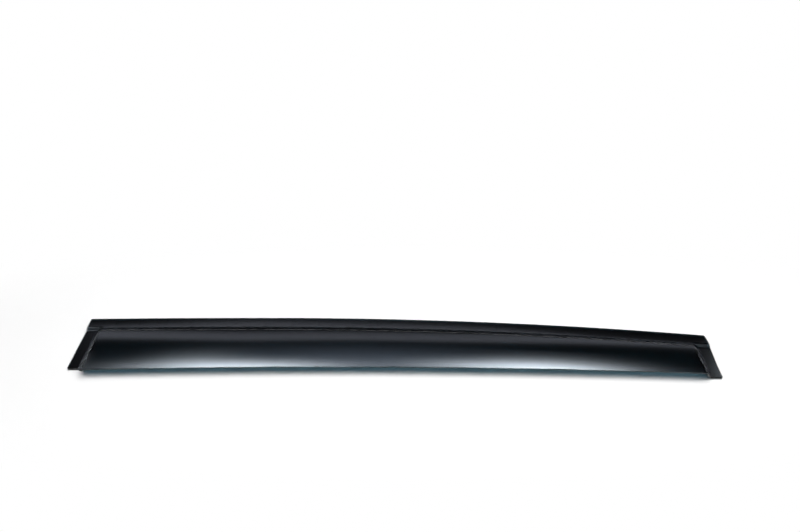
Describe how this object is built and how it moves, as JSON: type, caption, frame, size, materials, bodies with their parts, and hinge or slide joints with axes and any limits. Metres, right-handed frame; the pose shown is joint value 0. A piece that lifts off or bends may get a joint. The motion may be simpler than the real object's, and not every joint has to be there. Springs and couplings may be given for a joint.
{
  "type": "window rain deflector",
  "caption": "Long smoked acrylic rain deflector for a car's rear door window: a bulged blade with a bonding flange and end tabs, taped behind.",
  "frame": {"origin": "on the table that the part lies on, under the middle of its overall box; the release liners of the two end tabs touch z = 0", "axes": "+X along the length, to the end whose tab is shorter; +Y from the free edge to the flange's top edge; +Z away from the glass, out of the blade's crown"},
  "size_m": [0.8696, 0.1, 0.0248],
  "materials": {
    "smoked_acrylic": "polished, see-through",
    "foam_tape": "matt closed-cell foam",
    "release_liner": "satin film"
  },
  "bodies": {
    "root": {"visor": "smoked_acrylic", "flange_tape": "foam_tape", "left_tab_tape": "foam_tape", "right_tab_tape": "foam_tape", "flange_liner": "release_liner", "left_tab_liner": "release_liner", "right_tab_liner": "release_liner"}
  },
  "joints": []
}
